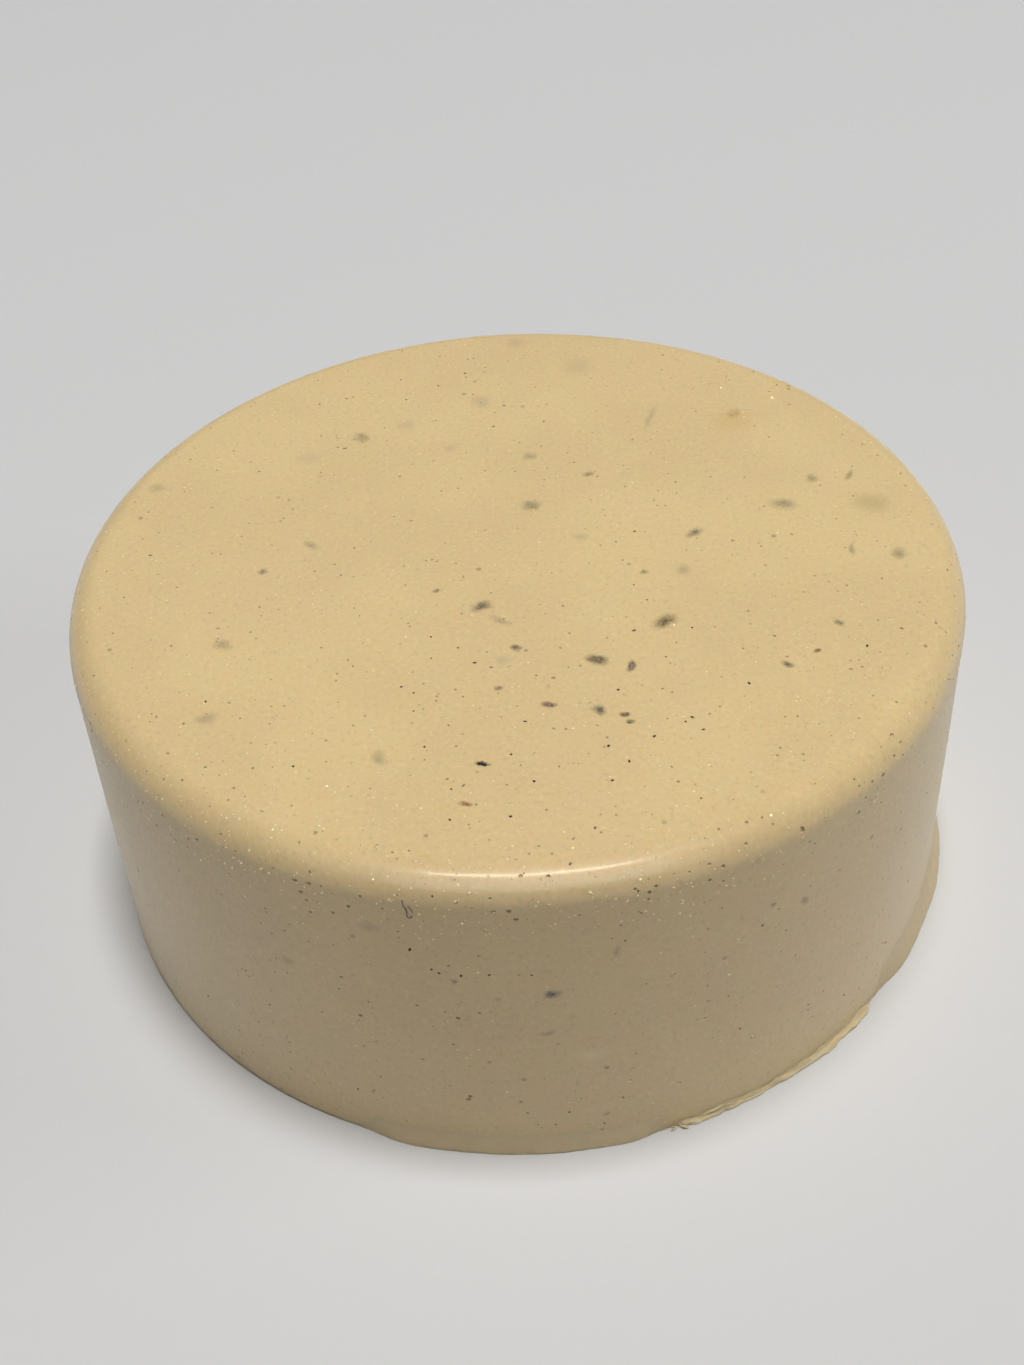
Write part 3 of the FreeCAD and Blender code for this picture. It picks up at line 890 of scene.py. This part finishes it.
class Tree:
    """Short calls for building one material's nodes."""

    def __init__(self, name):
        self.material = bpy.data.materials.new(name)
        self.material.use_nodes = True
        self.nodes = self.material.node_tree.nodes
        self.links = self.material.node_tree.links
        self.shader = self.nodes["Principled BSDF"]
        self.place = self.nodes.new("ShaderNodeTexCoord").outputs["Object"]

    def put(self, value, socket):
        """Links another socket to this one, or sets a plain value; a colour is given without its alpha."""
        if isinstance(value, bpy.types.NodeSocket):
            self.links.new(value, socket)
        elif hasattr(value, "__len__") and len(value) == 3 and socket.type == "RGBA":
            socket.default_value = (*value, 1)
        else:
            socket.default_value = value

    def set(self, **sockets):
        """Sets or links sockets of the shader by name, with underscores for spaces."""
        for name, value in sockets.items():
            self.put(value, self.shader.inputs[name.replace("_", " ")])

    def noise(self, scale, detail, roughness=0.5, output="Fac"):
        node = self.nodes.new("ShaderNodeTexNoise")
        self.put(self.place, node.inputs["Vector"])
        node.inputs["Scale"].default_value = scale
        node.inputs["Detail"].default_value = detail
        node.inputs["Roughness"].default_value = roughness
        return node.outputs[output]

    def cells(self, scale):
        """Distance to the nearest of scattered points, and a random colour for each."""
        node = self.nodes.new("ShaderNodeTexVoronoi")
        self.put(self.place, node.inputs["Vector"])
        node.inputs["Scale"].default_value = scale
        return node.outputs["Distance"], node.outputs["Color"]

    def height(self):
        """How high above the floor a place is."""
        split = self.nodes.new("ShaderNodeSeparateXYZ")
        self.put(self.place, split.inputs[0])
        return split.outputs["Z"]

    def island(self):
        """A random value from 0 to 1 for each separate solid of a piece."""
        return self.nodes.new("ShaderNodeNewGeometry").outputs["Random Per Island"]

    def range(self, value, low, high, to_low=0.0, to_high=1.0, smooth=True):
        node = self.nodes.new("ShaderNodeMapRange")
        node.interpolation_type = "SMOOTHSTEP" if smooth else "LINEAR"
        self.put(value, node.inputs["Value"])
        node.inputs["From Min"].default_value = low
        node.inputs["From Max"].default_value = high
        node.inputs["To Min"].default_value = to_low
        node.inputs["To Max"].default_value = to_high
        return node.outputs["Result"]

    def math(self, operation, first, second):
        node = self.nodes.new("ShaderNodeMath")
        node.operation = operation
        self.put(first, node.inputs[0])
        self.put(second, node.inputs[1])
        return node.outputs["Value"]

    def mix(self, share, first, second):
        node = self.nodes.new("ShaderNodeMix")
        node.data_type = "RGBA"
        self.put(share, node.inputs["Factor"])
        self.put(first, node.inputs[6])
        self.put(second, node.inputs[7])
        return node.outputs[2]

    def bump(self, height, distance, strength, under=None):
        node = self.nodes.new("ShaderNodeBump")
        self.put(height, node.inputs["Height"])
        node.inputs["Distance"].default_value = distance
        node.inputs["Strength"].default_value = strength
        if under is not None:
            self.put(under, node.inputs["Normal"])
        return node.outputs["Normal"]

    def offset(self, scale, reach):
        """The place, pushed about by a noise of this scale by up to reach."""
        wobble = self.noise(scale, 2.0, output="Color")
        centred = self.nodes.new("ShaderNodeVectorMath")
        centred.operation = "SUBTRACT"
        self.put(wobble, centred.inputs[0])
        centred.inputs[1].default_value = (0.5, 0.5, 0.5)
        scaled = self.nodes.new("ShaderNodeVectorMath")
        scaled.operation = "SCALE"
        self.put(centred.outputs["Vector"], scaled.inputs[0])
        scaled.inputs["Scale"].default_value = reach * 2
        added = self.nodes.new("ShaderNodeVectorMath")
        added.operation = "ADD"
        self.put(self.place, added.inputs[0])
        self.put(scaled.outputs["Vector"], added.inputs[1])
        return added.outputs["Vector"]

    def blot(self, vector, matrix, radii, inner, outer, strength):
        """The strength inside an ellipsoid, falling to 0 between inner and outer, in shares of its radii."""
        mapping = self.nodes.new("ShaderNodeMapping")
        mapping.vector_type = "TEXTURE"
        self.put(vector, mapping.inputs["Vector"])
        mapping.inputs["Location"].default_value = matrix.translation
        mapping.inputs["Rotation"].default_value = matrix.to_euler()
        mapping.inputs["Scale"].default_value = radii
        length = self.nodes.new("ShaderNodeVectorMath")
        length.operation = "LENGTH"
        self.put(mapping.outputs["Vector"], length.inputs[0])
        return self.range(length.outputs["Value"], inner, outer, strength, 0.0)


# ---------------------------------------- materials

SOAP_IOR = 1.46
SOAP_SCATTER = (1.0, 0.72, 0.42)        # how far red, green and blue light spread in it, as shares
LEAF_TINT = {
    "slate_leaf": (0.165, 0.142, 0.088),
    "olive_leaf": (0.175, 0.135, 0.068),
    "plum_petal": (0.180, 0.122, 0.090),
    "rust_leaf": (0.330, 0.150, 0.060),
    "seed_husk": (0.014, 0.008, 0.006),
    "wall_leaf": (0.130, 0.098, 0.070),
    "wall_petal": (0.120, 0.080, 0.068),
}
DRY_LEAF = 1.5              # how much paler a leaf is at the skin than the stain it makes from under it
HAIR_TINT = (0.180, 0.120, 0.070)


def leaf_kind(node):
    return next((kind for kind in LEAF_TINT if node.startswith(kind)), None)


def leaf_nodes():
    return sorted(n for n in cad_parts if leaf_kind(n))


def soap_material():
    """Satin cast soap: pale straw, faintly clouded, speckled, darker over each buried leaf."""
    tree = Tree("soap")
    cloud = tree.noise(90, 2.0)
    base = tree.mix(tree.range(cloud, 0.35, 0.65), (0.780, 0.598, 0.318), (0.810, 0.630, 0.330))
    blush = tree.range(tree.noise(48, 1.0), 0.45, 0.75)
    base = tree.mix(tree.math("MULTIPLY", blush, 0.35), base, (0.770, 0.570, 0.330))
    grain = tree.noise(2600, 3.0, 0.6)
    base = tree.mix(tree.range(grain, 0.54, 0.76, 0.0, 0.34), base, (0.500, 0.390, 0.180))
    base = tree.mix(tree.range(grain, 0.47, 0.26, 0.0, 0.30), base, (0.960, 0.800, 0.490))
    base = speckles(tree, base)
    wobbled = tree.offset(1000, 0.36 * MM)
    crumbs = tree.range(tree.noise(4600, 3.0, 0.6), 0.32, 0.66, 1.15, 0.70)
    for node in leaf_nodes():
        base = add_stain(tree, base, wobbled, crumbs, node)
    for patch in PATCHES:
        base = add_patch(tree, base, wobbled, *patch)
    peel = tree.bump(tree.noise(1500, 2.0), 0.007 * MM, 0.8)
    grit = tree.bump(grain, 0.007 * MM, 0.7, under=peel)
    tree.set(Base_Color=base, Roughness=0.42, IOR=SOAP_IOR, Normal=grit)
    tree.set(Coat_Weight=0.30, Coat_Roughness=0.19)
    tree.set(Subsurface_Weight=0.75, Subsurface_Scale=0.55 * MM, Subsurface_Radius=SOAP_SCATTER)
    return tree.material


# Procedural dots: cells per metre, dot width as a share of a cell, share of cells with a dot, colour.
SPECKLES = [
    (1300, 0.17, 0.34, (0.380, 0.280, 0.120)),
    (1100, 0.13, 0.18, (0.250, 0.160, 0.080)),
    (1500, 0.15, 0.16, (0.990, 0.880, 0.580)),
    (430, 0.12, 0.30, (0.500, 0.370, 0.200)),
]


def speckles(tree, base):
    """Fine olive, brown and pale gold dots, and a few broader brown smudges."""
    clumps = tree.range(tree.noise(210, 2.0), 0.40, 0.60, 0.2, 1.0)
    for scale, width, share, colour in SPECKLES:
        distance, pick = tree.cells(scale)
        chosen = tree.range(pick, 1 - share, 1 - share + 0.02)
        dot = tree.range(distance, width * 0.45, width, 1.0, 0.0)
        shown = tree.math("MULTIPLY", tree.math("MULTIPLY", dot, chosen), clumps)
        base = tree.mix(shown, base, colour)
    return base


PATCH_DEPTH = 1.5 * MM
# Soft patches of other colour: x and y on the top, or azimuth in degrees and height on the wall; half width
# and half height; colour; strength. Lengths are in millimetres.
PATCHES = [
    ("top", 19.5, 16.5, 2.2, 2.4, (0.720, 0.500, 0.190), 0.40),
    ("top", 29.0, 3.2, 2.3, 2.0, (0.640, 0.500, 0.210), 0.35),
    ("top", 6.8, 26.7, 2.0, 2.2, (0.560, 0.430, 0.250), 0.35),
    ("top", 1.3, 31.5, 1.2, 1.4, (0.500, 0.380, 0.240), 0.35),
    ("top", -2.1, 21.7, 1.2, 1.5, (0.540, 0.400, 0.270), 0.40),
    ("top", -8.6, 18.6, 1.1, 1.2, (0.560, 0.420, 0.280), 0.35),
    ("top", -17.0, 14.2, 1.4, 1.0, (0.600, 0.440, 0.290), 0.35),
    ("top", -4.8, 14.5, 0.8, 0.8, (0.560, 0.420, 0.280), 0.40),
    ("top", 5.4, 1.0, 0.9, 0.7, (0.520, 0.400, 0.260), 0.40),
    ("top", -1.2, -13.4, 0.8, 0.7, (0.560, 0.450, 0.300), 0.50),
    ("wall", 276.0, 11.0, 1.6, 0.9, (0.900, 0.760, 0.470), 0.45),
    ("wall", 252.0, 24.0, 1.0, 0.7, (0.480, 0.360, 0.200), 0.35),
    ("wall", 240.8, 17.7, 0.8, 0.6, (0.480, 0.340, 0.190), 0.40),
]


def add_patch(tree, base, vector, where, first, second, wide, tall, colour, strength):
    """A soft ellipse of another colour, at a place on the top or on the wall."""
    if where == "top":
        matrix = Matrix.Translation((first * MM, second * MM, HEIGHT))
    else:
        matrix = skin_frame(along_at(second * MM), math.radians(first))
    radii = (wide * MM, tall * MM, PATCH_DEPTH)
    mask = tree.blot(vector, matrix, radii, 0.1, 1.1, strength)
    return tree.mix(mask, base, colour)


STAIN = 1.05                # how darkly a leaf right at the skin stains it
WALL_STAIN = 0.6            # how much of that a wall_leaf makes
SEE_IN = 0.33 * MM          # how far down a leaf shows half as darkly as at the skin
STAIN_DEPTH = 1.2 * MM


def add_stain(tree, base, vector, grain, node):
    """The soft dark shape of a leaf seen through the skin over it."""
    matrix, half = measure_plate(node_points(node))
    depth = max(leaf_depth(node), 0.02 * MM)
    strength = STAIN / (1 + (depth / SEE_IN) ** 2.5)
    if node.startswith("wall_leaf"):
        strength *= WALL_STAIN
    soft = 0.40 + 1.2 * depth / (half[0] + half[1])
    radii = (half[0], half[1], STAIN_DEPTH)
    bell = tree.blot(vector, matrix, radii, max(0.75 - soft, 0.0), 1.30 + soft, strength)
    mask = tree.math("MULTIPLY", bell, grain)
    return tree.mix(mask, base, LEAF_TINT[leaf_kind(node)])


def leaf_material(name, tint):
    """Dried leaf: granular, with fibres and blotches darker and paler than its tint."""
    tree = Tree(name)
    fibres = tree.noise(4600, 3.0, 0.7)
    pale = tuple(min(1.0, 1.55 * t + 0.02) for t in tint)
    dark = tuple(0.50 * t for t in tint)
    colour = tree.mix(tree.range(fibres, 0.38, 0.64), dark, pale)
    blotch = tree.range(tree.noise(1500, 2.0), 0.40, 0.70)
    colour = tree.mix(tree.math("MULTIPLY", blotch, 0.5), colour, tint)
    tree.set(Base_Color=colour, Roughness=0.62, Normal=tree.bump(fibres, 0.03 * MM, 0.8))
    return tree.material


# The three colours of each shade of grit, dark to pale.
GRIT_COLOURS = {
    "black": [(0.012, 0.008, 0.006), (0.020, 0.014, 0.010), (0.035, 0.022, 0.014)],
    "brown": [(0.230, 0.125, 0.065), (0.420, 0.300, 0.150), (0.560, 0.440, 0.240)],
}


def speck_material(name, colours):
    """Grit whose colour differs from crumb to crumb."""
    tree = Tree(name)
    pick = tree.island()
    grit = tree.noise(9000, 2.0)
    colour = tree.mix(tree.range(pick, 0.1, 0.4, smooth=False), colours[0], colours[1])
    colour = tree.mix(tree.range(pick, 0.4, 1.0, smooth=False), colour, colours[2])
    colour = tree.mix(tree.range(grit, 0.3, 0.7, 0.0, 0.25), colour, colours[0])
    tree.set(Base_Color=colour, Roughness=0.55, Normal=tree.bump(grit, 0.02 * MM, 0.7))
    return tree.material


def mica_material():
    """Pale gold mica, some flakes brighter than others."""
    tree = Tree("mica")
    pick = tree.island()
    colour = tree.mix(tree.range(pick, 0.2, 0.9), (0.98, 0.80, 0.42), (1.0, 0.93, 0.60))
    layers = tree.noise(20000, 1.0)
    tree.set(Base_Color=colour, Metallic=0.10, Roughness=0.30, Normal=tree.bump(layers, 0.004 * MM, 0.5))
    return tree.material


def pinhole_shade_material():
    """The inside of a pinhole, painted a darker brown than the soap round it: painted shade in the hollow.
    """
    tree = Tree("pit")
    pit_mottle = tree.noise(6000, 3.0, 0.6)
    base = tree.mix(tree.range(pit_mottle, 0.3, 0.7), (0.500, 0.340, 0.170), (0.700, 0.530, 0.290))
    tree.set(Base_Color=base, Roughness=0.5, Normal=tree.bump(pit_mottle, 0.02 * MM, 0.8))
    return tree.material


def flash_material():
    """Torn soap: the puck's own colour on the wall, painted paler towards its edge at the floor as a painted
    highlight where the lip faces up.
    """
    tree = Tree("soap_flash")
    cloud = tree.noise(900, 3.0)
    base = tree.mix(tree.range(cloud, 0.3, 0.7), (0.740, 0.590, 0.350), (0.770, 0.615, 0.365))
    fray = tree.noise(2500, 3.0, 0.6)
    # Painted highlight: within about a quarter millimetre of the floor the lip is painted paler, where its
    # flared edge faces the light.
    edge = tree.math("ADD", tree.height(), tree.range(fray, 0.2, 0.8, -0.12 * MM, 0.12 * MM, smooth=False))
    base = tree.mix(tree.range(edge, 0.02 * MM, 0.24 * MM, 0.8, 0.0), base, (0.900, 0.740, 0.490))
    crumble = tree.noise(7000, 3.0, 0.65)
    base = tree.mix(tree.range(crumble, 0.60, 0.78, 0.0, 0.25), base, (0.560, 0.430, 0.220))
    tree.set(Base_Color=base, Roughness=0.50, IOR=SOAP_IOR, Normal=tree.bump(crumble, 0.03 * MM, 0.8))
    tree.set(Subsurface_Weight=0.6, Subsurface_Scale=0.45 * MM, Subsurface_Radius=SOAP_SCATTER)
    return tree.material


def add_soap():
    material = soap_material()
    soap = finish_piece("soap", soap_mesh(), material, "soap_body")
    carve(soap, scuff_mesh(), "UNION", material)
    # The pinholes' insides take the material painted darker as shade in the hollows.
    carve(soap, pinhole_mesh(), "DIFFERENCE", pinhole_shade_material())
    soap.data.set_sharp_from_angle(angle=SHARP_ANGLE)


def add_flash():
    material = flash_material()
    for node, (climb, flare, rough) in LIPS.items():
        finish_piece(f"{node}_lip", lip_mesh(node, climb, flare, rough), material, node)
    finish_piece("torn_shred", shred_mesh(), material, "flash_shred")


def add_grains():
    for shade, colours in GRIT_COLOURS.items():
        add_crumbs(shade, speck_material(f"{shade}_speck", colours))
    add_mica(mica_material())


add_camera()
add_lights()
add_room()
bpy.context.scene.view_settings.view_transform = "Standard"

dry_tints = {kind: [DRY_LEAF * t for t in tint] for kind, tint in LEAF_TINT.items()}
leaf_materials = {kind: leaf_material(kind, tint) for kind, tint in dry_tints.items()}
add_soap()
add_flash()
add_leaves(leaf_materials)
add_inner_flakes(leaf_materials["slate_leaf"])
add_grains()
add_root_hair(leaf_material("root", HAIR_TINT))
